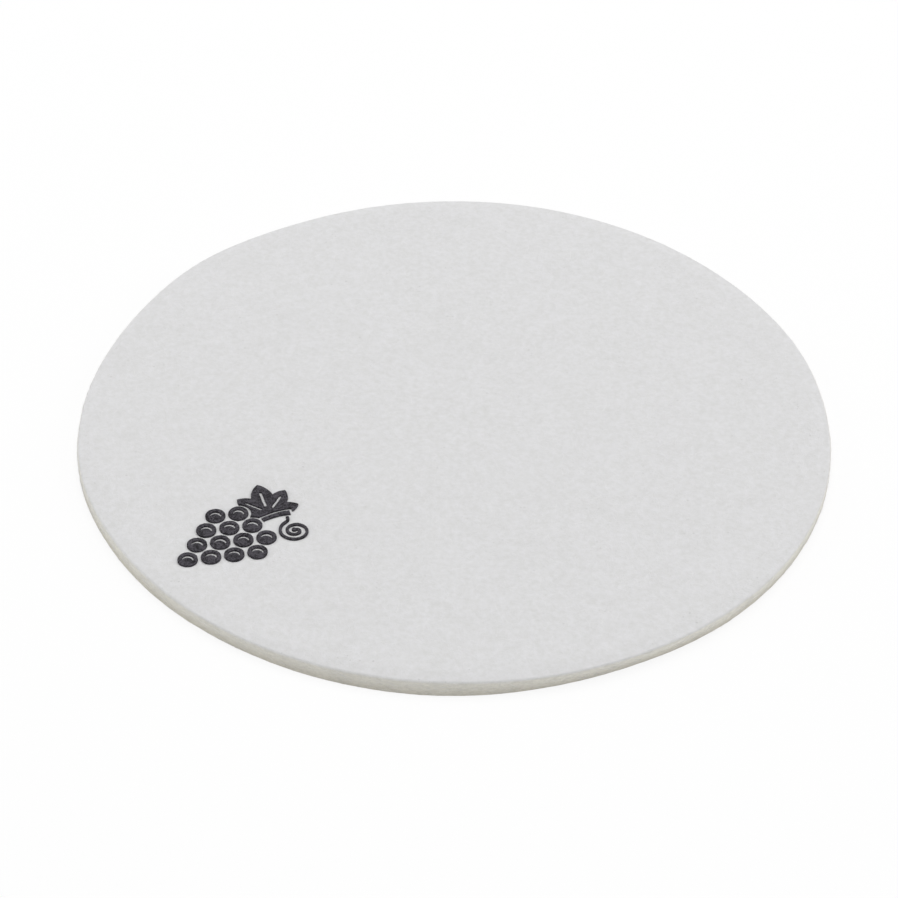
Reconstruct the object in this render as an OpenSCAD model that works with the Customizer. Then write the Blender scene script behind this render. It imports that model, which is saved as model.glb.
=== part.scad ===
// Wine bottle coaster: a die-cut disc of needle felt with a grape motif pressed into its top face.
// Millimetres. The origin is the middle of the underside, and +Z is up.

/* [Felt disc] */
// Diameter of the disc
disc_d = 100; // [80:1:140]
// Thickness of the felt
felt_t = 2; // [1.5:0.1:5]
// Radius of the soft shoulder round the top edge, where the die pushes in
shoulder_r = 0.35; // [0.2:0.05:0.8]
// Radius of the crisper edge round the underside
foot_r = 0.15; // [0.05:0.05:0.4]

/* [Print film] */
// Thickness of the film
film_t = 0.25; // [0.2:0.05:0.5]
// Depth that the press sinks the film into the felt
press_depth = 0.1; // [0.05:0.05:0.15]
// Open felt between neighbouring islands of print
island_gap = 0.35; // [0.2:0.05:0.6]

/* [Place of the motif] */
// Distance from the disc's edge to the tip of the bunch
edge_gap = 4.5; // [3:0.5:12]
// Direction of the motif from the disc's centre, anticlockwise from +X
motif_angle = 221; // [0:1:359]

/* [Bunch of grapes] */
// Diameter of a berry
berry_d = 2.6; // [2:0.1:3.6]
// Berries in the widest row, which is the second from the top
widest_row = 4; // [3:1:5]
// Radius of the crescent left open in a berry as its highlight
glint_r = 0.75; // [0.5:0.05:0.8]
// Width of that crescent at its middle
glint_w = 0.45; // [0.2:0.05:0.5]

/* [Stem] */
// Height of the stem above the bunch
stem_h = 4.4; // [3:0.1:6]
// Width of the stem where it meets the bunch
stem_w = 0.6; // [0.4:0.05:1]
// Radius of the stem's bow along its outer side
stem_bow_r = 9; // [8:0.5:20]
// How much tighter the inner side bows, which widens the stem towards its cut end
stem_flare = 2; // [0.5:0.1:3]
// Slant of the cut end, down towards the inner side
stem_slant = 22; // [0:1:40]

/* [Leaf] */
// Length of the leaf's middle lobe
lobe_l = 5.6; // [4:0.1:7]
// Width of that lobe
lobe_w = 2.9; // [2:0.1:3.6]
// Angle between neighbouring lobes
lobe_step = 42; // [36:1:48]
// Size of each lobe against the one nearer the middle
lobe_ratio = 0.86; // [0.75:0.01:0.95]
// Direction in which the middle lobe points
leaf_angle = 158; // [145:1:170]
// Radius of the leaf's heart, where its lobes meet
heart_r = 0.9; // [0.6:0.1:1.2]
// Height of the leaf's foot above the bunch
leaf_foot_h = 1.8; // [1:0.1:2.5]
// Width of the veins left open in the leaf
vein_w = 0.35; // [0.2:0.05:0.4]

/* [Tendril] */
// Radius of the tendril's outer half turn
curl_r = 1.8; // [1.5:0.1:2.4]
// Width of the tendril
curl_w = 0.4; // [0.3:0.05:0.5]
// Amount by which the radius shrinks at each half turn
curl_step = 0.45; // [0.4:0.05:0.55]
// Diameter of the round tip at the middle of the curl
curl_tip_d = 0.65; // [0.5:0.05:0.8]
// Radius of the bend where the tendril leaves the stem
curl_tail_r = 0.8; // [0.6:0.1:1.2]

/* [Hidden] */
$fn = 96;

felt_colour = [0.86, 0.86, 0.855];
film_colour = [0.26, 0.255, 0.275];

disc_r = disc_d / 2;
film_z = felt_t - press_depth;
// How far a cutting shape runs past the face that it cuts
cut_run = 1;

// The bunch: close-packed rows, the second the widest, the last a single berry
berry_pitch = berry_d + island_gap;
row_pitch = berry_pitch * sin(60);
row_counts = [for (row = [0 : widest_row]) row == 0 ? widest_row - 1 : widest_row + 1 - row];
bunch_h = widest_row * row_pitch + berry_d;
berry_centres = [
    for (row = [0 : widest_row])
        for (i = [0 : row_counts[row] - 1])
            [(i - (row_counts[row] - 1) / 2) * berry_pitch, -berry_d / 2 - row * row_pitch]
];

// The leaf: lobes fan out on both sides of the middle one, and the longer ones have a vein
side_lobes = 2;
side_veins = 1;
leaf_foot = [-stem_w / 2 - island_gap, leaf_foot_h];
// Shares of a lobe's length where its vein begins and ends
vein_from = 0.22;
vein_to = 0.74;
function lobe_scale(side) = pow(lobe_ratio, abs(side));

// The stem: the inner side's radius, and where that side lies at a height above the bunch
stem_inner_r = stem_bow_r - stem_flare;
function stem_side(height) = stem_w / 2 + stem_inner_r - sqrt(pow(stem_inner_r, 2) - pow(height, 2));

// The tendril: a bend away from the stem, then half turns that wind inwards to a round tip
curl_turns = 1 + floor((curl_r - curl_w) / curl_step);
curl_y = island_gap + curl_r + curl_w / 2;
curl_x = stem_side(curl_y + curl_tail_r) + island_gap + curl_tail_r + curl_r;
function curl_radius(turn) = curl_r - turn * curl_step;
function curl_shift(turn) = turn % 2 * curl_step;
function curl_side(turn) = turn % 2 == 0 ? 1 : -1;

// Puts the motif on the disc: its origin is the middle of the bunch's top, and its +Y points to the centre
module at_motif() {
    rotate(motif_angle + 90)
        translate([0, bunch_h + edge_gap - disc_r])
            children();
}

// A stretch of a ring, up to half a turn long, anticlockwise from a start angle
module arc_band(r, w, start, sweep) {
    reach = 2 * (r + w);
    intersection() {
        difference() {
            circle(r + w / 2);
            circle(r - w / 2);
        }
        rotate(start)
            translate([-reach, 0])
                square([2 * reach, reach]);
        rotate(start + sweep - 180)
            translate([-reach, 0])
                square([2 * reach, reach]);
    }
}

// A pointed shape between two equal arcs, from the origin along +X
module lobe(l, w) {
    arc_r = (l * l + w * w) / (4 * w);
    intersection() {
        translate([l / 2, w / 2 - arc_r])
            circle(arc_r);
        translate([l / 2, arc_r - w / 2])
            circle(arc_r);
    }
}

module vein(l) {
    translate([l * vein_from, -vein_w / 2])
        square([l * (vein_to - vein_from), vein_w]);
}

// A berry with its highlight, a crescent between two equal circles
module berry() {
    difference() {
        circle(berry_d / 2);
        difference() {
            circle(glint_r);
            translate([glint_w, -glint_w] * sqrt(0.5))
                circle(glint_r);
        }
    }
}

module bunch_outline() {
    for (centre = berry_centres)
        translate(centre)
            berry();
}

// What the bunch needs for itself: the berries, each with open felt round it
module bunch_room() {
    for (centre = berry_centres)
        translate(centre)
            circle(berry_d / 2 + island_gap);
}

// The stem between its two bowed sides, made wider all round by the given room
module stem_shape(room = 0) {
    intersection() {
        translate([stem_bow_r - stem_w / 2, 0])
            difference() {
                circle(stem_bow_r + room);
                translate([stem_w - stem_flare, 0])
                    circle(stem_inner_r - room);
            }
        translate([0, stem_h + room])
            rotate(-stem_slant)
                translate([-stem_h, -2 * stem_h])
                    square(2 * stem_h);
        translate([-stem_h, 0])
            square(2 * stem_h);
    }
}

module stem_outline() {
    difference() {
        stem_shape();
        bunch_room();
    }
}

module leaf_outline() {
    difference() {
        translate(leaf_foot)
            rotate(leaf_angle)
                difference() {
                    union() {
                        circle(heart_r);
                        for (side = [-side_lobes : side_lobes])
                            rotate(side * lobe_step)
                                lobe(lobe_l * lobe_scale(side), lobe_w * lobe_scale(side));
                    }
                    for (side = [-side_veins : side_veins])
                        rotate(side * lobe_step)
                            vein(lobe_l * lobe_scale(side));
                }
        bunch_room();
        stem_shape(island_gap);
    }
}

module tendril_outline() {
    difference() {
        translate([curl_x, curl_y]) {
            translate([-curl_r - curl_tail_r, 0])
                arc_band(curl_tail_r, curl_w, 0, 90);
            for (turn = [0 : curl_turns - 1])
                translate([curl_shift(turn), 0])
                    arc_band(curl_radius(turn), curl_w, turn % 2 == 0 ? 180 : 0, 180);
            last = curl_turns - 1;
            translate([curl_shift(last) + curl_side(last) * curl_radius(last), 0])
                circle(curl_tip_d / 2);
        }
        bunch_room();
        stem_shape(island_gap);
    }
}

// A square corner less its rounding, with the corner at the origin and the solid towards -X and +Y
module corner_cut(r) {
    difference() {
        translate([-r, -cut_run])
            square([r + cut_run, r + cut_run]);
        translate([-r, r])
            circle(r);
    }
}

// Half of the disc's section: flat faces, an upright cut wall, a soft shoulder and a crisper foot
module felt_section() {
    difference() {
        square([disc_r, felt_t]);
        translate([disc_r, 0])
            corner_cut(foot_r);
        translate([disc_r, felt_t])
            mirror([0, 1])
                corner_cut(shoulder_r);
    }
}

// An island of print: it fills its impression in the felt and stands a little proud
module film() {
    color(film_colour)
        translate([0, 0, film_z])
            linear_extrude(film_t)
                at_motif()
                    children();
}

module felt_disc() {
    color(felt_colour)
        difference() {
            rotate_extrude()
                felt_section();
            translate([0, 0, film_z])
                linear_extrude(press_depth + cut_run)
                    at_motif() {
                        bunch_outline();
                        leaf_outline();
                        stem_outline();
                        tendril_outline();
                    }
        }
}

module print_grapes() {
    film() bunch_outline();
}

module print_leaf() {
    film() leaf_outline();
}

module print_stem() {
    film() stem_outline();
}

module print_tendril() {
    film() tendril_outline();
}

felt_disc();
print_grapes();
print_leaf();
print_stem();
print_tendril();
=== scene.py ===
import math

import bpy
import numpy as np
from bpy.props import FloatProperty, FloatVectorProperty, IntProperty, PointerProperty
from mathutils import Matrix, Vector, noise
from mathutils.bvhtree import BVHTree


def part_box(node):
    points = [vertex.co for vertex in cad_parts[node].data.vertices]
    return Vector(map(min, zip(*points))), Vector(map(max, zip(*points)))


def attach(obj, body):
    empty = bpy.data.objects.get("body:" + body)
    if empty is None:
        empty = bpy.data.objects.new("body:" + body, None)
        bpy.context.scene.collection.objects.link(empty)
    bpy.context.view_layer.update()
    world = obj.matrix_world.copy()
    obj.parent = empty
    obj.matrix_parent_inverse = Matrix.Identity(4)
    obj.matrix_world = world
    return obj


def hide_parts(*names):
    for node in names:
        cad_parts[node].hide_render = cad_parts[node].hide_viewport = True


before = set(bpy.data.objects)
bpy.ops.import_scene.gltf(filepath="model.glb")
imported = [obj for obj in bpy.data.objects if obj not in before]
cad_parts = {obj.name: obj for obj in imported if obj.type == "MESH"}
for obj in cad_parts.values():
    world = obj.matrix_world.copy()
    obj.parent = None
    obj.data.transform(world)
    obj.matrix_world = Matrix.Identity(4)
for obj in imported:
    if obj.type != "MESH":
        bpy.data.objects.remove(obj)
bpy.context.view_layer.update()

bl_info = {
    "name": "Felt bottle coaster",
    "version": (1, 0, 0),
    "blender": (4, 5, 0),
    "location": "3D View > Sidebar > Coaster",
    "description": "A round coaster of needle felt with a pressed print, on its studio floor",
    "category": "Add Mesh",
}

MM = 0.001
FULL_TURN = 2 * math.pi
UP = Vector((0, 0, 1))
WHITE = (1, 1, 1, 1)

BODY = "root"
FELT_NODE = "felt_disc"
PRINT_NODES = ("print_grapes", "print_leaf", "print_stem", "print_tendril")
FELT_LOW, FELT_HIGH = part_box(FELT_NODE)
FELT_NAME = "felt_mat"
FIBRE_NAME = "felt_loose_fibres"
BAKE_MAP = "OFBake"

# The photograph's frame is square, and the camera's focal length was found in its pixels.
PHOTO_WIDTH = 898
FOCAL_PIXELS = 3000
SENSOR_WIDTH = 36
CLIP_START = 0.01
# Degrees between the corners of the round floor.
FLOOR_STEP = 3

# Cells along the side of the square in the middle of a face, rings round it, and rows down the cut edge.
TOP_CELLS = 184
TOP_RINGS = 50
UNDER_CELLS = TOP_CELLS // 4
UNDER_RINGS = 12
SHOULDER_ROWS = 6
WALL_ROWS = 7
FOOT_ROWS = 3
# The square's half-width against the disc's radius, and how much its sides bulge.
CORE_SHARE = 0.6
CORE_BULGE = 0.3
# Direction of the square's first corner, where every loop round the disc starts.
LOOP_START = math.radians(225)
# Shares of the radius where the underside has a half and a quarter of the cut edge's points.
HALF_SHARE = 0.99
QUARTER_SHARE = 0.98

# Where the cut strays from a circle: direction and half-width in degrees, and millimetres outwards.
RIM_WANDER = (
    (137, 8, 0.22),
    (160, 17, -0.58),
    (78, 20, 0.3),
    (118, 12, -0.25),
    (36, 16, -0.25),
    (4, 14, -0.3),
    (-40, 18, 0.12),
    (-92, 14, -0.1),
    (-165, 10, 0.25),
)
# Where the wall leans out or in at its foot, in the same terms.
FOOT_WANDER = (
    (-90, 12, 0.35),
    (-105, 16, 0.35),
    (-140, 22, 0.25),
    (-64, 12, -0.25),
    (-30, 22, -0.1),
)
# The power by which these strays fade out towards the middle of a face.
STRAY_FADE = 6
# The power that sharpens the roll-off at the face's edge.
ROLL_POWER = 1.5
# How far along its smooth slope the dip round the print begins.
DIP_START = 0.3
# Height above the print from which it is looked for, in millimetres.
LOOK_HEIGHT = 1

# Lumps of the faces: size in millimetres, share of the nap's height, and layer of the noise.
FACE_LUMPS = ((2.6, 0.65, 1), (1.2, 0.45, 2), (26, 1.6, 3))
# Streaks of the cut edge: how much longer round the disc than high, and then the same three.
WALL_STREAKS = ((4, 1.6, 1, 4), (2, 4.5, 1, 5), (1.5, 0.9, 1.2, 10))
# Grain of the film, in the terms of the lumps, and the size and two layers of its outline's waver.
FILM_GRAIN = ((0.5, 0.6, 8), (0.2, 0.4, 9))
WAVER_SIZE = 0.7
WAVER_LAYERS = (6, 7)
# The way from one layer of noise to the next.
LAYER_STEP = (17.3, -9.1, 5.7)
# The underside takes its lumps from this far off, and they fade out beyond this share of its radius.
UNDER_SHIFT = 40 * MM
UNDER_CALM = 0.9

# Bake map of the felt: middle and radius of each face's round patch, and upright strips for the cut edge.
TOP_PATCH = ((0.37, 0.37), 0.36)
UNDER_PATCH = ((0.13, 0.87), 0.115)
STRIP_COUNT = 4
STRIP_LEFT = 0.755
STRIP_PITCH = 0.06
STRIP_WIDTH = 0.05
STRIP_LOW = 0.01
STRIP_LENGTH = 0.98
# Bake map of a loose fibre, in shares of its cell: the spans of its sides, and its two end triangles.
CELL_ALONG = (0.12, 0.88)
CELL_ROUND = (0.08, 0.92)
CELL_ENDS = (
    ((0.02, 0.2), (0.09, 0.2), (0.09, 0.6)),
    ((0.91, 0.2), (0.98, 0.2), (0.98, 0.6)),
)

# A loose fibre: points along it, its three sides, and its height against its width.
FIBRE_POINTS = 8
FIBRE_SIDES = 3
FIBRE_FLATNESS = 0.22
# Its shape from end to end: the way along it, its height over the felt in half-widths, the arch of a loose
# one, and its taper. Its ends dive into the felt.
FIBRE_STEPS = np.linspace(-0.5, 0.5, FIBRE_POINTS)
FIBRE_DIVE = 0.15 - 0.9 * (2 * np.abs(FIBRE_STEPS)) ** 4
FIBRE_ARCH = 1 - (2 * FIBRE_STEPS) ** 2
FIBRE_TAPER = 0.35 + 0.65 * np.sin(np.linspace(0.1, math.pi - 0.1, FIBRE_POINTS))

# Fibres on the face: spans of their lengths and widths, the spread of their bend and sway in radians, and
# the powers that make long and loose ones rare.
FACE_LENGTHS = (0.3, 1)
FACE_LENGTH_POWER = 1.5
FACE_WIDTHS = (0.55, 1.45)
FACE_BEND = 1.3
FACE_SWAY = 0.6
FACE_LOFT_POWER = 5
# How far out their middles and their points may lie, and the felt kept bare of them round the print.
FACE_REACH = 0.985
FACE_LIMIT = 0.988
PRINT_CLEARANCE = 0.3 * MM
# Fibres on the cut edge: spans of their middles' and points' heights against the crest, and of their
# lengths and widths, the spread of their tilt in radians, and how loose they are against those on the face.
EDGE_HEIGHTS = (0.08, 0.92)
EDGE_LIMITS = (0.06, 0.94)
EDGE_LENGTHS = (0.15, 0.55)
EDGE_WIDTHS = (0.5, 1.2)
EDGE_TILT = 0.35
EDGE_LOFT = 2
EDGE_LOFT_POWER = 2

# How far a softening pass moves the film's points, and how far its underside sinks into the felt.
SOFTEN_FACTOR = 0.5
FILM_SINK = 0.03 * MM

# The sockets of a Mix node that blends colours, and the middle of a noise node's values.
MIX_SHARE = 0
MIX_FIRST = 6
MIX_SECOND = 7
MIX_RESULT = 2
NOISE_MIDDLE = 0.5
# Layers of matted fibres in the felt, and the width and length of a fibre in millimetres.
MAT_LAYERS = 6
MAT_WIDTH = 0.14
MAT_LENGTH = 1.5
# Size of the drift that bends them and how far it moves them, in millimetres.
MAT_DRIFT_SIZE = 1.8
MAT_DRIFT = 1.6
# The way from one layer's noise to the next, and the size and share of the waves that lift a layer over the
# others.
MAT_STEP = (31.7, -12.9, 7.3)
MAT_WAVE_SIZE = 1.3
MAT_WAVE = 0.35
# The noise at a fibre's foot and at its ridge, and the height between them that keeps the tone as it is.
MAT_RANGE = (0.5, 0.85)
MAT_MIDDLE = 0.4
# The lightest fibres hold this much more blue than the felt's colour, and the darkest as much less.
MAT_COOLNESS = 0.013
# How far the felt's tone runs to either side of its middle, and how strongly the dark fibre ends show.
TONE_REACH = 0.8
SPECK_STRENGTH = 0.28
# The cut edge's colour, warmer than the face, and lighter than it as painted light on the wall and
# shoulder:
# millimetres inside the radius where it begins and is full, shares of the crest's height where it starts to
# fade upwards and where painted shade starts to darken it downwards, and its mottle against the face's.
CUT_BAND = (1.6, 0.6)
CUT_TOP = 0.82
FOOT_SHADE_TOP = 0.78
CUT_MOTTLE = 2


def smooth(share):
    """The smooth step of a share that runs from 0 to 1."""
    held = np.clip(share, 0, 1)
    return held * held * (3 - 2 * held)


def between(span, share):
    """What lies at a share of the way through a span."""
    first, last = span
    return first + (last - first) * share


def unit(vectors):
    """The vectors at a length of 1."""
    return vectors / np.linalg.norm(vectors, axis=-1, keepdims=True)


def directions(angles):
    """Flat vectors of length 1 at the angles."""
    return np.stack([np.cos(angles), np.sin(angles)], -1)


def polar(spots):
    """Distances from the middle and angles of flat spots."""
    return np.hypot(spots[:, 0], spots[:, 1]), np.arctan2(spots[:, 1], spots[:, 0])


def wander(angles, strays):
    """How far the cut strays outwards at each angle, in metres."""
    total = np.zeros_like(angles)
    for direction, spread, reach in strays:
        away = np.angle(np.exp(1j * (angles - math.radians(direction))))
        total += reach * MM * np.exp(-((away / math.radians(spread)) ** 2))
    return total


def rounding(way, radius):
    """How far a rounded edge draws in at some way into its arc."""
    held = np.clip(way, 0, radius)
    return radius - np.sqrt(radius**2 - held**2)


def lumps(points, size, layer):
    """Soft random heights from -1 to 1 at each point, for lumps of a size in millimetres."""
    shift = Vector([step * layer for step in LAYER_STEP])
    return np.array([noise.noise(Vector(point) / (size * MM) + shift) for point in points])


def layered_lumps(points, layers):
    """Lumps of several sizes together, each with its share."""
    return sum(share * lumps(points, size, layer) for size, share, layer in layers)


class PrintPlace:
    """Where the print lies on the felt's face, read from its solids in the frame, in millimetres."""

    def __init__(self):
        corners = []
        faces = []
        for node in PRINT_NODES:
            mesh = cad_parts[node].data
            start = len(corners)
            corners += [vertex.co / MM for vertex in mesh.vertices]
            faces += [[start + i for i in polygon.vertices] for polygon in mesh.polygons]
        self.tree = BVHTree.FromPolygons(corners, faces)
        places = np.array(corners)
        self.low = places.min(0)
        self.high = places.max(0)

    def distance(self, points, reach):
        """Distance over the face from points to the nearest print, up to a reach, and 0 on the print."""
        flat = points[:, :2] / MM
        margin = reach / MM
        near = np.all((flat > self.low[:2] - margin) & (flat < self.high[:2] + margin), axis=1)
        found = np.full(len(flat), reach)
        middle = (self.low[2] + self.high[2]) / 2
        top = self.high[2] + LOOK_HEIGHT
        for i in np.flatnonzero(near):
            x, y = flat[i]
            if self.tree.ray_cast(Vector((x, y, top)), -UP)[0] is None:
                gap = self.tree.find_nearest(Vector((x, y, middle)))[3]
                found[i] = min(reach, gap * MM)
            else:
                found[i] = 0
        return found


class FeltForm:
    """The felt's surfaces, for the felt itself and for what lies on it."""

    def __init__(self, felt):
        self.felt = felt
        self.crest = felt.thickness - felt.roll_drop
        self.face_radius = felt.radius - felt.shoulder
        self.print_place = PrintPlace()

    def relief(self, points):
        """Height of the lumps on a face, which the print follows too."""
        return self.felt.nap * layered_lumps(points, FACE_LUMPS)

    def face(self, spots):
        """Points of the top face above spots of the unit disc."""
        felt = self.felt
        reach, angles = polar(spots)
        span = self.face_radius + wander(angles, RIM_WANDER) * reach**STRAY_FADE
        points = np.zeros((len(spots), 3))
        points[:, :2] = spots * span[:, None]
        from_rim = (1 - reach) * self.face_radius
        roll = felt.roll_drop * smooth(1 - from_rim / felt.roll_width) ** ROLL_POWER
        gap = self.print_place.distance(points, felt.press_reach)
        slope = DIP_START + (1 - DIP_START) * gap / felt.press_reach
        dip = felt.press_depth * np.where(gap == 0, 1, 1 - smooth(slope))
        calm = smooth(from_rim / felt.roll_width)
        points[:, 2] = felt.thickness - roll - dip + self.relief(points) * calm
        return points

    def wall_radius(self, angles, heights):
        """Radius of the cut edge at each angle and height, shoulder and foot included."""
        felt = self.felt
        shoulder = rounding(heights - self.crest + felt.shoulder, felt.shoulder)
        foot = rounding(felt.foot - heights, felt.foot)
        lean = wander(angles, FOOT_WANDER) * np.clip(1 - heights / self.crest, 0, 1)
        return felt.radius + wander(angles, RIM_WANDER) + lean - shoulder - foot

    def wall(self, angles, heights):
        """Points of the cut edge, with the streaks that its cut fibres leave."""
        radius = self.wall_radius(angles, heights)
        points = np.stack([radius * np.cos(angles), radius * np.sin(angles), heights], 1)
        streaks = sum(
            share * lumps(points * (1, 1, drawn), size, layer)
            for drawn, size, share, layer in WALL_STREAKS
        )
        inside = smooth((self.crest - heights) / self.felt.shoulder)
        push = 1 + self.felt.nap * streaks * inside / radius
        points[:, :2] *= push[:, None]
        return points

    def underside(self, spots):
        """Points of the underside below spots of the unit disc, with no lump below the table."""
        reach, angles = polar(spots)
        edge = self.wall_radius(angles, np.zeros(len(spots)))
        flat = self.felt.radius - self.felt.foot
        span = QUARTER_SHARE * (flat + (edge - flat) * reach**STRAY_FADE)
        points = np.zeros((len(spots), 3))
        points[:, :2] = spots * span[:, None]
        calm = 1 - smooth((reach - UNDER_CALM) / (1 - UNDER_CALM))
        points[:, 2] = np.maximum(-self.relief(points + (0, 0, UNDER_SHIFT)) * calm, 0)
        return points


class Skin:
    """A mesh under construction: its points, its faces, and its faces' corners in the bake map."""

    def __init__(self):
        self.points = []
        self.faces = []
        self.corners = []
        self.count = 0

    def add_points(self, points):
        """Adds a block of points and gives their numbers."""
        first = self.count
        self.points.append(points)
        self.count += len(points)
        return np.arange(first, self.count)

    def add_faces(self, faces, corners):
        """Adds faces, made of points' numbers, with the bake coordinates of their corners."""
        self.faces += faces.tolist()
        self.corners.append(corners.ravel())

    def build(self, name):
        """The finished mesh."""
        mesh = bpy.data.meshes.new(name)
        mesh.from_pydata(np.concatenate(self.points).tolist(), [], self.faces)
        baked = mesh.uv_layers.new(name=BAKE_MAP)
        baked.data.foreach_set("uv", np.concatenate(self.corners).astype(np.float32))
        mesh.validate()
        return mesh


def loop_angles(count):
    """Angles of the points of a loop round the disc."""
    return LOOP_START + np.arange(count) * FULL_TURN / count


def band(inner, outer):
    """Faces between two closed loops of as many points, facing up where the second is the wider."""
    return np.stack([inner, outer, np.roll(outer, -1), np.roll(inner, -1)], 1)


def halving_band(outer, inner):
    """Faces from a closed loop to a narrower one of half as many points, facing down."""
    first = outer[::2]
    middle = outer[1::2]
    last = np.roll(first, -1)
    following = np.roll(inner, -1)
    return np.concatenate([
        np.stack([inner, middle, first], 1),
        np.stack([inner, following, middle], 1),
        np.stack([following, last, middle], 1),
    ])


def unit_disc(cells, rings):
    """Spots and faces of a unit disc: a bulged square of cells with rings round it, and its outer loop."""
    line = np.linspace(-1, 1, cells + 1)
    across, along = np.meshgrid(line, line)
    x = CORE_SHARE * across * np.sqrt(1 - CORE_BULGE * along**2)
    y = CORE_SHARE * along * np.sqrt(1 - CORE_BULGE * across**2)
    index = np.arange(x.size).reshape(x.shape)
    square = np.stack([index[:-1, :-1], index[:-1, 1:], index[1:, 1:], index[1:, :-1]], -1)
    loop = np.concatenate([index[0, :-1], index[:-1, -1], index[-1, :0:-1], index[:0:-1, 0]])
    spots = [np.stack([x.ravel(), y.ravel()], 1)]
    faces = [square.reshape(-1, 4)]
    inner = spots[0][loop]
    outer = directions(loop_angles(len(loop)))
    row = index.size + np.arange(len(loop))
    for ring in range(1, rings + 1):
        spots.append(inner + (outer - inner) * ring / rings)
        faces.append(band(loop, row))
        loop = row
        row = row + len(row)
    return np.concatenate(spots), np.concatenate(faces), loop


def disc_patch(patch, spots):
    """Bake coordinates of spots of the unit disc in a round patch of the map."""
    centre, radius = patch
    return np.array(centre) + spots * radius


def add_top(skin, form):
    """Adds the felt's top face, and gives its outer loop."""
    spots, faces, loop = unit_disc(TOP_CELLS, TOP_RINGS)
    numbers = skin.add_points(form.face(spots))
    skin.add_faces(numbers[faces], disc_patch(TOP_PATCH, spots)[faces])
    return numbers[loop]


def edge_heights(form):
    """Heights of the rows down the cut edge: round the shoulder, down the wall and round the foot."""
    shoulder = form.felt.shoulder
    foot = form.felt.foot
    shoulder_turn = np.linspace(0, math.pi / 2, SHOULDER_ROWS + 1)[1:]
    foot_turn = np.linspace(0, math.pi / 2, FOOT_ROWS + 1)[1:]
    return np.concatenate([
        form.crest - shoulder * (1 - np.cos(shoulder_turn)),
        np.linspace(form.crest - shoulder, foot, WALL_ROWS + 1)[1:],
        foot * (1 - np.sin(foot_turn)),
    ])


def add_edge(skin, form, loop):
    """Adds the felt's cut edge below a loop, and gives its lowest loop and that loop's points."""
    count = len(loop)
    angles = loop_angles(count)
    heights = edge_heights(form)
    # The edge is laid out as strips side by side in the bake map, so that no face crosses a seam.
    strip_points = count // STRIP_COUNT
    strip, step = np.divmod(np.arange(count), strip_points)
    left = STRIP_LEFT + strip * STRIP_PITCH
    low = STRIP_LOW + step / strip_points * STRIP_LENGTH
    high = STRIP_LOW + (step + 1) / strip_points * STRIP_LENGTH
    across = np.linspace(0, STRIP_WIDTH, len(heights) + 1)
    for row, height in enumerate(heights):
        points = form.wall(angles, np.full(count, height))
        below = skin.add_points(points)
        near = left + across[row]
        far = left + across[row + 1]
        skin.add_faces(band(loop, below), np.stack([near, low, far, low, far, high, near, high], 1))
        loop = below
    return loop, points


def add_underside(skin, form, loop, rim):
    """Adds the felt's underside, which has a quarter of the points of the edge's lowest loop."""
    spots, faces, outer = unit_disc(UNDER_CELLS, UNDER_RINGS)
    half = skin.add_points(rim[::2] * (HALF_SHARE, HALF_SHARE, 1))
    numbers = skin.add_points(form.underside(spots))
    rim_spots = unit(rim[:, :2])
    places = np.concatenate([rim_spots, rim_spots[::2] * HALF_SHARE, spots * QUARTER_SHARE])
    corners = disc_patch(UNDER_PATCH, places)
    for group in (
        halving_band(loop, half),
        halving_band(half, numbers[outer]),
        numbers[faces][:, ::-1],
    ):
        skin.add_faces(group, corners[group - loop[0]])


def felt_mesh(form):
    """The felt as one closed skin: top face, shoulder, cut wall, foot and underside."""
    skin = Skin()
    loop = add_top(skin, form)
    loop, rim = add_edge(skin, form, loop)
    add_underside(skin, form, loop, rim)
    mesh = skin.build(FELT_NAME)
    mesh.shade_smooth()
    return mesh


def face_fibres(form, fibres, random):
    """Paths and half-widths of loose fibres on the face: bent and swaying lines, clear of rim and print."""
    column = (fibres.face_count, 1)
    reach = form.felt.radius * FACE_REACH * np.sqrt(random.random(column))
    turn = FULL_TURN * random.random(column)
    heading = FULL_TURN * random.random(column)
    length = fibres.longest * between(FACE_LENGTHS, random.random(column) ** FACE_LENGTH_POWER)
    width = fibres.half_width * between(FACE_WIDTHS, random.random(column))
    bend = random.normal(0, FACE_BEND, column)
    sway = random.normal(0, FACE_SWAY, column)
    rise = fibres.loft * random.random(column) ** FACE_LOFT_POWER
    phase = FULL_TURN * random.random(column)
    facing = heading + bend * FIBRE_STEPS + sway * np.sin(FULL_TURN * FIBRE_STEPS + phase)
    stride = length / (FIBRE_POINTS - 1)
    flat = np.cumsum(directions(facing) * stride[:, :, None], 1)
    flat += directions(turn) * reach[:, :, None] - flat.mean(1, keepdims=True)
    spots = flat / form.face_radius
    inside = np.linalg.norm(spots, axis=-1) < FACE_LIMIT
    gaps = form.print_place.distance(flat.reshape(-1, 2), PRINT_CLEARANCE)
    clear = gaps.reshape(inside.shape) >= PRINT_CLEARANCE
    kept = np.all(inside & clear, axis=1)
    lines = form.face(spots[kept].reshape(-1, 2)).reshape(-1, FIBRE_POINTS, 3)
    lines[:, :, 2] += width[kept] * FIBRE_DIVE + rise[kept] * FIBRE_ARCH
    return lines, width[kept]


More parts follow.
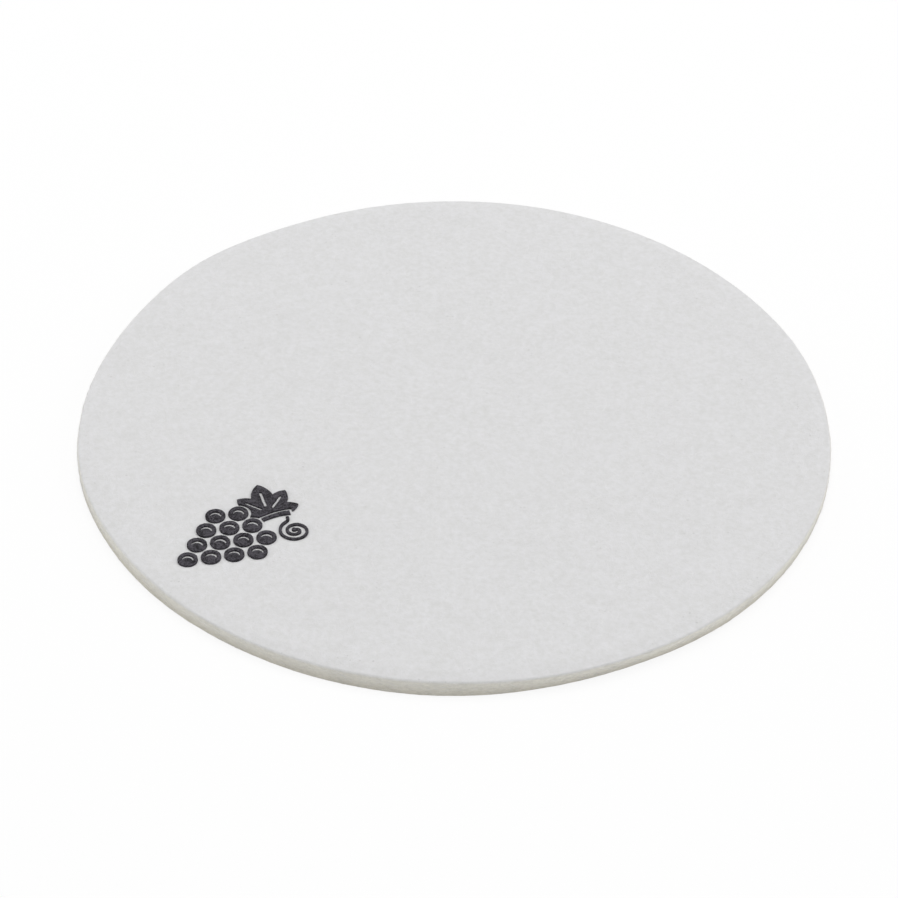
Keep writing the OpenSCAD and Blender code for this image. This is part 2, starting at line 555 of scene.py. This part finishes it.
def edge_fibres(form, fibres, random):
    """Paths and half-widths of loose fibres on the cut edge: tilted lines that follow it round."""
    column = (fibres.edge_count, 1)
    turn = FULL_TURN * random.random(column)
    height = form.crest * between(EDGE_HEIGHTS, random.random(column))
    length = fibres.longest * between(EDGE_LENGTHS, random.random(column))
    tilt = random.normal(0, EDGE_TILT, column)
    width = fibres.half_width * between(EDGE_WIDTHS, random.random(column))
    rise = EDGE_LOFT * fibres.loft * random.random(column) ** EDGE_LOFT_POWER
    angles = turn + FIBRE_STEPS * length * np.cos(tilt) / form.felt.radius
    lowest, highest = EDGE_LIMITS
    heights = height + FIBRE_STEPS * length * np.sin(tilt)
    heights = np.clip(heights, lowest * form.crest, highest * form.crest)
    lines = form.wall(angles.ravel(), heights.ravel()).reshape(-1, FIBRE_POINTS, 3)
    outwards = unit(lines * (1, 1, 0))
    lines += outwards * (width * FIBRE_DIVE + rise * FIBRE_ARCH)[:, :, None]
    return lines, width


def fibre_tubes(lines, widths):
    """Points of flattened tubes along the paths, by fibre, step along it and side."""
    along = unit(np.gradient(lines, axis=1))
    across = unit(np.cross(along, UP))
    lift = FIBRE_FLATNESS * np.cross(across, along)
    size = (widths * FIBRE_TAPER)[:, :, None]
    sides = []
    for side in range(FIBRE_SIDES):
        angle = FULL_TURN * (1 / 4 + side / FIBRE_SIDES)
        sides.append(lines + size * (math.cos(angle) * across + math.sin(angle) * lift))
    return np.stack(sides, 2)


def fibre_mesh(form, fibres):
    """The loose fibres as one mesh, with a cell of the bake map for each."""
    random = np.random.default_rng(fibres.seed)
    face_lines, face_widths = face_fibres(form, fibres, random)
    edge_lines, edge_widths = edge_fibres(form, fibres, random)
    lines = np.concatenate([face_lines, edge_lines])
    widths = np.concatenate([face_widths, edge_widths])
    tubes = fibre_tubes(lines, widths)
    skin = Skin()
    numbers = skin.add_points(tubes.reshape(-1, 3)).reshape(tubes.shape[:3])

    columns = math.ceil(math.sqrt(len(lines)))
    row, column = np.divmod(np.arange(len(lines)), columns)
    cells = np.stack([column, row], 1)[:, None]
    edges = between(CELL_ALONG, np.linspace(0, 1, FIBRE_POINTS))
    seams = between(CELL_ROUND, np.linspace(0, 1, FIBRE_SIDES + 1))
    for side in range(FIBRE_SIDES):
        first = numbers[:, :, side]
        second = numbers[:, :, (side + 1) % FIBRE_SIDES]
        low, high = seams[side:side + 2]
        for i in range(FIBRE_POINTS - 1):
            near, far = edges[i:i + 2]
            faces = np.stack([first[:, i], first[:, i + 1], second[:, i + 1], second[:, i]], 1)
            spots = ((near, low), (far, low), (far, high), (near, high))
            skin.add_faces(faces, (cells + spots) / columns)
    ends = (numbers[:, 0], numbers[:, -1, [0, 2, 1]])
    for faces, spots in zip(ends, CELL_ENDS):
        skin.add_faces(faces, (cells + spots) / columns)
    mesh = skin.build(FIBRE_NAME)
    mesh.shade_flat()
    return mesh


def softened_solid(name, node, film):
    """A copy of a print node's solid with softened edges, in millimetres."""
    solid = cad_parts[node].data.copy()
    solid.transform(Matrix.Scale(1 / MM, 4))
    draft = bpy.data.objects.new(name, solid)
    bpy.context.scene.collection.objects.link(draft)
    skin = draft.modifiers.new("skin", "REMESH")
    skin.mode = "VOXEL"
    skin.voxel_size = film.voxel / MM
    soften = draft.modifiers.new("soften", "SMOOTH")
    soften.factor = SOFTEN_FACTOR
    soften.iterations = film.soften
    depsgraph = bpy.context.evaluated_depsgraph_get()
    mesh = bpy.data.meshes.new_from_object(draft.evaluated_get(depsgraph))
    bpy.data.objects.remove(draft)
    if not len(mesh.polygons):
        raise RuntimeError(f"the film on {node} came out empty")
    mesh.name = name
    return mesh


def film_mesh(name, node, form, film):
    """An island group of the print: its softened solid with a hand-made waver and a fine grain."""
    mesh = softened_solid(name, node, film)
    points = np.zeros(len(mesh.vertices) * 3)
    mesh.vertices.foreach_get("co", points)
    points = points.reshape(-1, 3) * MM
    flat = points * (1, 1, 0)
    middle = (points[:, 2].min() + points[:, 2].max()) / 2
    grain = film.grain * layered_lumps(flat, FILM_GRAIN)
    points[:, 2] += form.relief(flat) + np.where(points[:, 2] > middle, grain, -FILM_SINK)
    for axis, layer in enumerate(WAVER_LAYERS):
        points[:, axis] += film.waver * lumps(flat, WAVER_SIZE, layer)
    mesh.vertices.foreach_set("co", points.ravel())
    mesh.update()
    mesh.shade_smooth()
    return mesh


def add_piece(name, mesh, material):
    """Puts a mesh in the scene as a piece of the part's body."""
    piece = bpy.data.objects.new(name, mesh)
    bpy.context.scene.collection.objects.link(piece)
    mesh.materials.clear()
    mesh.materials.append(material)
    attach(piece, BODY)
    return piece


class Wire:
    """A node's socket that takes part in Python arithmetic, which adds Math nodes."""

    def __init__(self, finish, socket):
        self.finish = finish
        self.socket = socket

    def __add__(self, other):
        return self.finish.math("ADD", self, other)

    def __radd__(self, other):
        return self.finish.math("ADD", other, self)

    def __sub__(self, other):
        return self.finish.math("SUBTRACT", self, other)

    def __rsub__(self, other):
        return self.finish.math("SUBTRACT", other, self)

    def __mul__(self, other):
        return self.finish.math("MULTIPLY", self, other)

    def __rmul__(self, other):
        return self.finish.math("MULTIPLY", other, self)


class Finish:
    """A node tree under construction."""

    def __init__(self, owner):
        owner.use_nodes = True
        self.owner = owner
        self.tree = owner.node_tree
        self.tree.nodes.clear()

    def node(self, kind, settings=None, sockets=None, output=0):
        """Adds a node: settings first, then values or links of its sockets. Gives one of its outputs."""
        made = self.tree.nodes.new(kind)
        for name, value in (settings or {}).items():
            setattr(made, name, value)
        for key, value in (sockets or {}).items():
            if isinstance(value, Wire):
                self.tree.links.new(value.socket, made.inputs[key])
            else:
                made.inputs[key].default_value = value
        return Wire(self, made.outputs[output]) if made.outputs else made

    def math(self, operation, first, second):
        """A number from two, by a Math node."""
        return self.node("ShaderNodeMath", {"operation": operation}, {0: first, 1: second})

    def vector(self, operation, first, second):
        """A vector from two, by a Vector Math node."""
        return self.node("ShaderNodeVectorMath", {"operation": operation}, {0: first, 1: second})

    def scale(self, vector, factor):
        """A vector made longer or shorter."""
        return self.node("ShaderNodeVectorMath", {"operation": "SCALE"}, {0: vector, "Scale": factor})

    def millimetres(self):
        """The place on the piece, in millimetres."""
        return self.scale(self.node("ShaderNodeTexCoord", output="Object"), 1 / MM)

    def stretch(self, place, sizes):
        """The place divided by a size along each axis."""
        return self.vector("MULTIPLY", place, tuple(1 / size for size in sizes))

    def grain(self, place, size, detail=1, output=0):
        """Soft noise from 0 to 1 with features of about a size, or its colour as a vector."""
        sockets = {"Vector": place, "Scale": 1 / size, "Detail": detail, "Roughness": 0.6}
        return self.node("ShaderNodeTexNoise", {"noise_dimensions": "3D"}, sockets, output)

    def step(self, value, low, high):
        """A smooth step from 0 to 1 as a value goes from low to high."""
        sockets = {"Value": value, "From Min": low, "From Max": high}
        return self.node("ShaderNodeMapRange", {"interpolation_type": "SMOOTHSTEP"}, sockets)

    def blend(self, share, first, second):
        """A colour between two, by a share of the second."""
        sockets = {MIX_SHARE: share, MIX_FIRST: first, MIX_SECOND: second}
        return self.node("ShaderNodeMix", {"data_type": "RGBA"}, sockets, MIX_RESULT)

    def bump(self, height, strength, distance):
        """A normal that shows heights, where a height of 1 is a distance in millimetres."""
        sockets = {"Height": height, "Strength": strength, "Distance": distance * MM}
        return self.node("ShaderNodeBump", {}, sockets)

    def surface(self, sockets):
        """The piece's shader, wired to the output."""
        shader = self.node("ShaderNodeBsdfPrincipled", {}, sockets)
        self.node("ShaderNodeOutputMaterial", {}, {"Surface": shader})
        return self.owner


def colour(values, level=1, blue=1):
    """A colour with its alpha, lightened or darkened by a level, and with more or less blue in it."""
    return (values[0] * level, values[1] * level, values[2] * level * blue, 1)


def matted_fibres(finish, place):
    """Heights of fine fibres that run every way through the felt and pass over and under each other."""
    drift = finish.grain(place, MAT_DRIFT_SIZE, output="Color")
    bent = finish.vector("ADD", place, finish.scale(drift, MAT_DRIFT))
    top = 0
    for layer in range(MAT_LAYERS):
        turn = {"Vector": bent, "Angle": math.pi * layer / MAT_LAYERS}
        turned = finish.node("ShaderNodeVectorRotate", {"rotation_type": "Z_AXIS"}, turn)
        moved = finish.vector("ADD", turned, tuple(step * layer for step in MAT_STEP))
        drawn = finish.stretch(moved, (MAT_WIDTH, MAT_LENGTH, MAT_WIDTH))
        fibre = finish.grain(drawn, size=1, detail=0)
        wave = finish.grain(moved, MAT_WAVE_SIZE, detail=0)
        top = finish.math("MAXIMUM", top, fibre + (wave - NOISE_MIDDLE) * MAT_WAVE)
    return finish.step(top, *MAT_RANGE)


def felt_finish(felt):
    """Needle felt: matted fibres, faint mottling, a few specks, and a warmer cut edge with painted light
    and a painted shade at its foot.
    """
    finish = Finish(bpy.data.materials.new("needle_felt"))
    place = finish.millimetres()
    flat = finish.vector("MULTIPLY", place, (1, 1, 0))
    radius = finish.node("ShaderNodeVectorMath", {"operation": "LENGTH"}, {0: flat}, "Value")
    height = finish.node("ShaderNodeSeparateXYZ", {}, {0: place}, "Z")

    fibres = matted_fibres(finish, place)
    layered = finish.stretch(place, (1, 1, 0.3))
    tuft = finish.grain(layered, size=0.72)
    patch = finish.grain(layered, size=1.5)
    cloud = finish.grain(place, size=8)
    mottle = (tuft - NOISE_MIDDLE) * 1.2 + (patch - NOISE_MIDDLE) * 0.6 + (cloud - NOISE_MIDDLE) * 0.15
    tone = mottle + (fibres - MAT_MIDDLE) * 0.25
    shade = finish.step(tone, -TONE_REACH, TONE_REACH)
    light = colour(felt.face_colour, 1 + felt.mottle, 1 + MAT_COOLNESS)
    dark = colour(felt.face_colour, 1 - felt.mottle, 1 - MAT_COOLNESS)
    face = finish.blend(shade, dark, light)

    # A few darker fibre ends: small spots where a fine grain and a coarse one are both at their darkest.
    spots = finish.step(finish.grain(flat, size=0.4, detail=0), low=0.25, high=0.22)
    groups = finish.step(finish.grain(flat, size=4, detail=0), low=0.41, high=0.27)
    face = finish.blend(spots * groups * SPECK_STRENGTH, face, colour(felt.speck_colour))

    # The cut edge's colour is painted light: lighter than the face on the wall and over the shoulder, where
    # it fades out.
    rim, full = (felt.radius / MM - inset for inset in CUT_BAND)
    crest = (felt.thickness - felt.roll_drop) / MM
    cut = finish.step(radius, rim, full) * (1 - finish.step(height, crest * CUT_TOP, crest))
    # Painted shade: the cut edge darkens towards the table.
    foot = 1 - finish.step(height, 0, crest * FOOT_SHADE_TOP)
    cut_mottle = CUT_MOTTLE * felt.mottle
    edge_dark, edge_light = (
        finish.blend(foot, colour(felt.lit_edge_colour, level), colour(felt.foot_shade_colour, level))
        for level in (1 - cut_mottle, 1 + cut_mottle)
    )
    edge = finish.blend(shade, edge_dark, edge_light)
    return finish.surface({
        "Base Color": finish.blend(cut, face, edge),
        "Roughness": 0.92 - fibres * 0.12,
        "Normal": finish.bump(tuft * 0.9 + fibres * 0.7, strength=0.6, distance=0.035),
        "Specular IOR Level": 0.25,
        "Sheen Weight": 0.08,
        "Sheen Roughness": 0.5,
    })


def fibre_finish(felt):
    """Single fibres of the felt, each a little lighter or darker than the next, and all lighter than the
    face as painted light.
    """
    finish = Finish(bpy.data.materials.new("felt_fibre"))
    each = finish.node("ShaderNodeNewGeometry", output="Random Per Island")
    along = finish.grain(finish.millimetres(), size=0.8)
    # Both ends are lighter than the face: painted light that offsets the shade on the thin fibres' sides.
    light = colour(felt.face_colour, level=1.2)
    dark = colour(felt.face_colour, level=1.04)
    return finish.surface({
        "Base Color": finish.blend(each * 0.7 + along * 0.3, dark, light),
        "Roughness": 0.55 + along * 0.25,
        "Specular IOR Level": 0.3,
    })


def film_finish(film):
    """Matte charcoal film: the fibres under it show through, with a fine grit and slight clouding."""
    finish = Finish(bpy.data.materials.new("print_film"))
    place = finish.millimetres()
    fibres = matted_fibres(finish, place)
    grit = finish.grain(place, size=0.1, detail=2)
    cloud = finish.grain(place, size=0.9)
    tone = finish.step(fibres * 0.6 + grit * 0.25 + cloud * 0.15, low=0.15, high=0.75)
    dark = colour(film.colour, level=0.3)
    light = colour(film.colour, level=1.7)
    return finish.surface({
        "Base Color": finish.blend(tone, dark, light),
        "Roughness": 0.8 - fibres * 0.2,
        "Normal": finish.bump(fibres + grit * 0.4, strength=0.8, distance=0.04),
        "Specular IOR Level": 0.12,
    })


def seen_directly(finish):
    """1 for rays from the camera, a reflection or a clear piece, and 0 for light that falls on things."""
    camera, glossy, clear = (
        finish.node("ShaderNodeLightPath", output=f"Is {kind} Ray")
        for kind in ("Camera", "Glossy", "Transmission")
    )
    return finish.node("ShaderNodeClamp", {}, {"Value": camera + glossy + clear})


def floor_finish(stage):
    """A white floor that the camera sees as bright paper, with the object's shadow still on it."""
    finish = Finish(bpy.data.materials.new("studio_floor"))
    matte = finish.node("ShaderNodeBsdfDiffuse", {}, {"Color": colour(stage.floor_colour)})
    bright = finish.node("ShaderNodeEmission", {}, {"Color": WHITE, "Strength": 1})
    share = seen_directly(finish) * stage.floor_glow
    mixed = finish.node("ShaderNodeMixShader", {}, {0: share, 1: matte, 2: bright})
    finish.node("ShaderNodeOutputMaterial", {}, {"Surface": mixed})
    return finish.owner


def add_floor(stage):
    """The round floor under the object."""
    corners = stage.floor_radius * directions(np.radians(np.arange(0, 360, FLOOR_STEP)))
    mesh = bpy.data.meshes.new("studio_floor")
    mesh.from_pydata([(x, y, 0) for x, y in corners.tolist()], [], [range(len(corners))])
    mesh.materials.append(floor_finish(stage))
    floor = bpy.data.objects.new("studio_floor", mesh)
    bpy.context.scene.collection.objects.link(floor)


def light_world(stage):
    """Even light from all round, and white behind the object."""
    finish = Finish(bpy.data.worlds.new("studio"))
    lit = finish.node("ShaderNodeBackground", {}, {"Color": WHITE, "Strength": stage.sky_level})
    white = finish.node("ShaderNodeBackground", {}, {"Color": WHITE, "Strength": 1})
    mixed = finish.node("ShaderNodeMixShader", {}, {0: seen_directly(finish), 1: lit, 2: white})
    finish.node("ShaderNodeOutputWorld", {}, {"Surface": mixed})
    bpy.context.scene.world = finish.owner


def add_softbox(name, place, size, power):
    """A square softbox that faces the object."""
    lamp = bpy.data.lights.new(name, "AREA")
    lamp.energy = power
    lamp.size = size
    softbox = bpy.data.objects.new(name, lamp)
    softbox.location = place
    softbox.rotation_mode = "QUATERNION"
    softbox.rotation_quaternion = (-Vector(place)).to_track_quat("-Z", "Y")
    bpy.context.scene.collection.objects.link(softbox)


def add_camera(stage):
    """The photograph's camera."""
    data = bpy.data.cameras.new("photo_camera")
    data.sensor_width = SENSOR_WIDTH
    data.lens = SENSOR_WIDTH * FOCAL_PIXELS / PHOTO_WIDTH
    data.clip_start = CLIP_START
    camera = bpy.data.objects.new("photo_camera", data)
    bpy.context.scene.collection.objects.link(camera)
    away = stage.camera_distance
    rise = stage.camera_rise
    place = Vector((0, -away * math.cos(rise), away * math.sin(rise)))
    sight = (Vector(stage.camera_aim) - place).to_track_quat("-Z", "Y")
    turn = sight.to_matrix().to_4x4() @ Matrix.Rotation(stage.camera_roll, 4, "Z")
    camera.matrix_world = Matrix.Translation(place) @ turn
    bpy.context.scene.camera = camera


class CoasterFeltSettings(bpy.types.PropertyGroup):
    """Sizes and colours of the felt."""

    radius: FloatProperty(
        name="Radius",
        description="Radius of the die-cut disc",
        default=FELT_HIGH.x,
        precision=5,
        subtype="DISTANCE",
        unit="LENGTH",
    )
    thickness: FloatProperty(
        name="Thickness",
        description="Thickness of the felt",
        default=FELT_HIGH.z - FELT_LOW.z,
        precision=5,
        subtype="DISTANCE",
        unit="LENGTH",
    )
    shoulder: FloatProperty(
        name="Shoulder",
        description="Radius of the soft shoulder round the top edge",
        default=0.35 * MM,
        precision=5,
        subtype="DISTANCE",
        unit="LENGTH",
    )
    foot: FloatProperty(
        name="Foot",
        description="Radius of the crisper edge round the underside",
        default=0.15 * MM,
        precision=5,
        subtype="DISTANCE",
        unit="LENGTH",
    )
    roll_width: FloatProperty(
        name="Roll-off width",
        description="Width of the strip along the edge where the face starts to sink",
        default=1.7 * MM,
        precision=5,
        subtype="DISTANCE",
        unit="LENGTH",
    )
    roll_drop: FloatProperty(
        name="Roll-off drop",
        description="How far the face sinks before the shoulder begins",
        default=0.14 * MM,
        precision=5,
        subtype="DISTANCE",
        unit="LENGTH",
    )
    nap: FloatProperty(
        name="Nap",
        description="Height of the soft lumps of the matted fibres",
        default=0.022 * MM,
        precision=6,
        subtype="DISTANCE",
        unit="LENGTH",
    )
    press_depth: FloatProperty(
        name="Press depth",
        description="How deep the press sinks the felt under the print",
        default=0.1 * MM,
        precision=5,
        subtype="DISTANCE",
        unit="LENGTH",
    )
    press_reach: FloatProperty(
        name="Press reach",
        description="How far from the print the felt is still pulled down",
        default=0.9 * MM,
        precision=5,
        subtype="DISTANCE",
        unit="LENGTH",
    )
    mottle: FloatProperty(
        name="Mottle",
        description="Share by which the matted fibres lighten and darken the colour",
        default=0.063,
        min=0,
        max=0.3,
        subtype="FACTOR",
    )
    face_colour: FloatVectorProperty(
        name="Face colour",
        description="Colour of the felt's faces",
        default=(0.719, 0.7175, 0.7205),
        min=0,
        max=1,
        subtype="COLOR",
    )
    speck_colour: FloatVectorProperty(
        name="Speck colour",
        description="Colour of the few darker fibre ends",
        default=(0.36, 0.35, 0.34),
        min=0,
        max=1,
        subtype="COLOR",
    )
    # Lighter than the face: painted light on the cut edge.
    lit_edge_colour: FloatVectorProperty(
        name="Edge colour",
        description="Colour of the cut edge",
        default=(0.785, 0.767, 0.7),
        min=0,
        max=1,
        subtype="COLOR",
    )
    # Darker and warmer: painted shade of the cut edge close to the table.
    foot_shade_colour: FloatVectorProperty(
        name="Foot colour",
        description="Colour of the cut edge close to the table",
        default=(0.65, 0.622, 0.543),
        min=0,
        max=1,
        subtype="COLOR",
    )


class CoasterFibreSettings(bpy.types.PropertyGroup):
    """Numbers and sizes of the loose fibres."""

    face_count: IntProperty(
        name="On the face",
        description="Number of loose fibres laid out on the top face",
        default=2600,
        min=1,
    )
    edge_count: IntProperty(
        name="On the edge",
        description="Number of loose fibres on the cut edge",
        default=1800,
        min=1,
    )
    longest: FloatProperty(
        name="Longest",
        description="Length of the longest fibres",
        default=4.5 * MM,
        precision=5,
        subtype="DISTANCE",
        unit="LENGTH",
    )
    half_width: FloatProperty(
        name="Half-width",
        description="Middling radius of a fibre",
        default=0.014 * MM,
        precision=6,
        subtype="DISTANCE",
        unit="LENGTH",
    )
    loft: FloatProperty(
        name="Loft",
        description="How far the loosest fibres on the face arch clear of the felt",
        default=0.06 * MM,
        precision=5,
        subtype="DISTANCE",
        unit="LENGTH",
    )
    seed: IntProperty(
        name="Seed",
        description="Start of the random numbers that lay the fibres out",
        default=11,
    )


class CoasterFilmSettings(bpy.types.PropertyGroup):
    """Sizes and colour of the print film."""

    voxel: FloatProperty(
        name="Voxel",
        description="Size of the voxels that the film is skinned with",
        default=0.055 * MM,
        precision=6,
        subtype="DISTANCE",
        unit="LENGTH",
    )
    soften: IntProperty(
        name="Soften",
        description="Number of passes that soften the film's edges",
        default=3,
        min=0,
    )
    waver: FloatProperty(
        name="Waver",
        description="How far the film's outline wavers",
        default=0.03 * MM,
        precision=6,
        subtype="DISTANCE",
        unit="LENGTH",
    )
    grain: FloatProperty(
        name="Grain",
        description="Height of the grain on the film's face",
        default=0.014 * MM,
        precision=6,
        subtype="DISTANCE",
        unit="LENGTH",
    )
    colour: FloatVectorProperty(
        name="Colour",
        description="Colour of the film",
        default=(0.043, 0.0402, 0.0472),
        min=0,
        max=1,
        subtype="COLOR",
    )


class CoasterStageSettings(bpy.types.PropertyGroup):
    """The floor, the light and the photograph's camera."""

    floor_radius: FloatProperty(
        name="Floor radius",
        description="Radius of the floor, which ends short of the softboxes",
        default=1.1,
        subtype="DISTANCE",
        unit="LENGTH",
    )
    floor_colour: FloatVectorProperty(
        name="Floor colour",
        description="Colour of the floor as the light sees it",
        default=(0.98, 0.98, 0.98),
        min=0,
        max=1,
        subtype="COLOR",
    )
    floor_glow: FloatProperty(
        name="Floor glow",
        description="Share of plain white that the camera sees in the floor",
        default=0.86,
        min=0,
        max=1,
        subtype="FACTOR",
    )
    sky_level: FloatProperty(
        name="Sky level",
        description="Strength of the even light from all round",
        default=0.46,
        min=0,
    )
    overhead_power: FloatProperty(
        name="Overhead softbox",
        description="Power of the softbox above the object",
        default=13.1,
        min=0,
        unit="POWER",
    )
    right_power: FloatProperty(
        name="Right softbox",
        description="Power of the softbox to the right",
        default=4.2,
        min=0,
        unit="POWER",
    )
    left_power: FloatProperty(
        name="Left softbox",
        description="Power of the softbox to the left",
        default=3.2,
        min=0,
        unit="POWER",
    )
    camera_distance: FloatProperty(
        name="Camera distance",
        description="Distance from the disc's middle to the camera",
        default=0.4006,
        precision=4,
        subtype="DISTANCE",
        unit="LENGTH",
    )
    camera_rise: FloatProperty(
        name="Camera rise",
        description="Angle of the camera above the floor",
        default=math.radians(39.7),
        subtype="ANGLE",
        unit="ROTATION",
    )
    camera_roll: FloatProperty(
        name="Camera roll",
        description="Turn of the camera about its line of sight",
        default=math.radians(1),
        subtype="ANGLE",
        unit="ROTATION",
    )
    camera_aim: FloatVectorProperty(
        name="Camera aim",
        description="Point on the floor that the camera looks at",
        default=(-0.81 * MM, -4 * MM, 0),
        precision=5,
        subtype="XYZ",
        unit="LENGTH",
    )


class COASTER_OT_stage(bpy.types.Operator):
    """Add the floor, the soft light and the photograph's camera"""

    bl_idname = "coaster.stage"
    bl_label = "Stage"

    def execute(self, context):
        stage = context.scene.coaster_stage
        add_floor(stage)
        light_world(stage)
        add_softbox("softbox_overhead", place=(0.05, 0.75, 1.4), size=1.2, power=stage.overhead_power)
        add_softbox("softbox_right", place=(1.3, -0.1, 0.62), size=0.8, power=stage.right_power)
        add_softbox("softbox_left", place=(-1.3, 0.15, 0.55), size=0.8, power=stage.left_power)
        add_camera(stage)
        context.scene.view_settings.view_transform = "Standard"
        return {"FINISHED"}


class COASTER_OT_felt(bpy.types.Operator):
    """Add the die-cut felt disc"""

    bl_idname = "coaster.felt"
    bl_label = "Felt"

    def execute(self, context):
        felt = context.scene.coaster_felt
        piece = add_piece(FELT_NAME, felt_mesh(FeltForm(felt)), felt_finish(felt))
        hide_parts(FELT_NODE)
        return {"FINISHED"}


class COASTER_OT_fibres(bpy.types.Operator):
    """Add the loose fibres on the felt's face and cut edge"""

    bl_idname = "coaster.fibres"
    bl_label = "Loose fibres"

    def execute(self, context):
        felt = context.scene.coaster_felt
        mat = context.scene.objects.get(FELT_NAME)
        if mat is None:
            raise RuntimeError("the loose fibres need the felt first")
        mesh = fibre_mesh(FeltForm(felt), context.scene.coaster_fibres)
        fibres = add_piece(FIBRE_NAME, mesh, fibre_finish(felt))
        return {"FINISHED"}


class COASTER_OT_print(bpy.types.Operator):
    """Add the islands of print film pressed into the felt"""

    bl_idname = "coaster.print"
    bl_label = "Print film"

    def execute(self, context):
        film = context.scene.coaster_film
        form = FeltForm(context.scene.coaster_felt)
        material = film_finish(film)
        for node in PRINT_NODES:
            name = node.replace("print", "film")
            piece = add_piece(name, film_mesh(name, node, form, film), material)
            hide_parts(node)
        return {"FINISHED"}


class COASTER_PT_sidebar(bpy.types.Panel):
    """The coaster's settings, and a button for each of its pieces"""

    bl_label = "Felt bottle coaster"
    bl_space_type = "VIEW_3D"
    bl_region_type = "UI"
    bl_category = "Coaster"

    def draw(self, context):
        scene = context.scene
        for operator, settings in (
            (COASTER_OT_stage, scene.coaster_stage),
            (COASTER_OT_felt, scene.coaster_felt),
            (COASTER_OT_fibres, scene.coaster_fibres),
            (COASTER_OT_print, scene.coaster_film),
        ):
            box = self.layout.box()
            for name in settings.__annotations__:
                box.prop(settings, name)
            box.operator(operator.bl_idname)


CLASSES = (
    CoasterFeltSettings,
    CoasterFibreSettings,
    CoasterFilmSettings,
    CoasterStageSettings,
    COASTER_OT_stage,
    COASTER_OT_felt,
    COASTER_OT_fibres,
    COASTER_OT_print,
    COASTER_PT_sidebar,
)


def register():
    for each in CLASSES:
        bpy.utils.register_class(each)
    bpy.types.Scene.coaster_felt = PointerProperty(type=CoasterFeltSettings)
    bpy.types.Scene.coaster_fibres = PointerProperty(type=CoasterFibreSettings)
    bpy.types.Scene.coaster_film = PointerProperty(type=CoasterFilmSettings)
    bpy.types.Scene.coaster_stage = PointerProperty(type=CoasterStageSettings)


def unregister():
    del bpy.types.Scene.coaster_stage
    del bpy.types.Scene.coaster_film
    del bpy.types.Scene.coaster_fibres
    del bpy.types.Scene.coaster_felt
    for each in reversed(CLASSES):
        bpy.utils.unregister_class(each)


def main():
    register()
    bpy.ops.coaster.stage()
    bpy.ops.coaster.felt()
    bpy.ops.coaster.fibres()
    bpy.ops.coaster.print()


if __name__ == "__main__":
    main()
